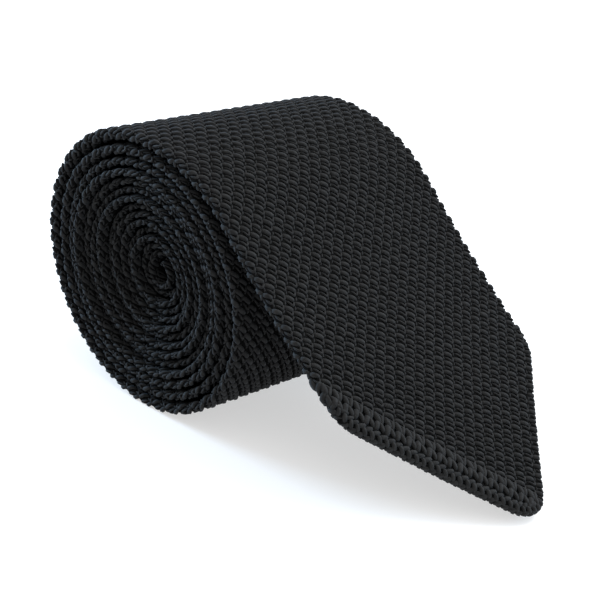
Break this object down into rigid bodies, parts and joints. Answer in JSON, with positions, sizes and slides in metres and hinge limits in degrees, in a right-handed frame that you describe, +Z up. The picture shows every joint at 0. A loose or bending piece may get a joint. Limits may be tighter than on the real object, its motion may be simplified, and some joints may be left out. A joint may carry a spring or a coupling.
{
  "type": "rolled knitted necktie",
  "caption": "Rolled charcoal knitted necktie with a pointed blade whose free end hinges up from the roll.",
  "frame": {"origin": "centre of the flat patch that the roll rests on, at floor level", "axes": "X along the roll's axis, -Y towards the free pointed end, +Z up from the floor"},
  "size_m": [0.085, 0.1298, 0.064],
  "materials": {
    "knit": "chunky matt knit",
    "lining": "brushed wool interlining",
    "tipping": "fine knitted backing",
    "thread": "spun sewing thread",
    "label": "plain woven satin tape"
  },
  "bodies": {
    "roll": {"blade_shell": "knit", "neck_shell": "knit", "tail_shell": "knit", "interlining": "lining", "tail_tipping": "tipping", "slip_stitch": "thread", "blade_neck_seam": "thread", "neck_tail_seam": "thread", "blade_bar_tack": "thread", "tail_bar_tack": "thread", "keeper_loop": "knit", "keeper_loop_tacks": "thread", "care_label": "label", "care_label_tacks": "thread"},
    "blade_end": {"blade_shell_end": "knit", "blade_interlining_end": "lining", "blade_tipping": "tipping", "blade_edge_stitch": "thread"}
  },
  "joints": [
    {"name": "flap_lift", "type": "hinge", "parent": "roll", "child": "blade_end", "pos_m": [0, 0.00167, 0.06179], "axis": [-1, 0, 0], "range_deg": [0, 40]}
  ]
}
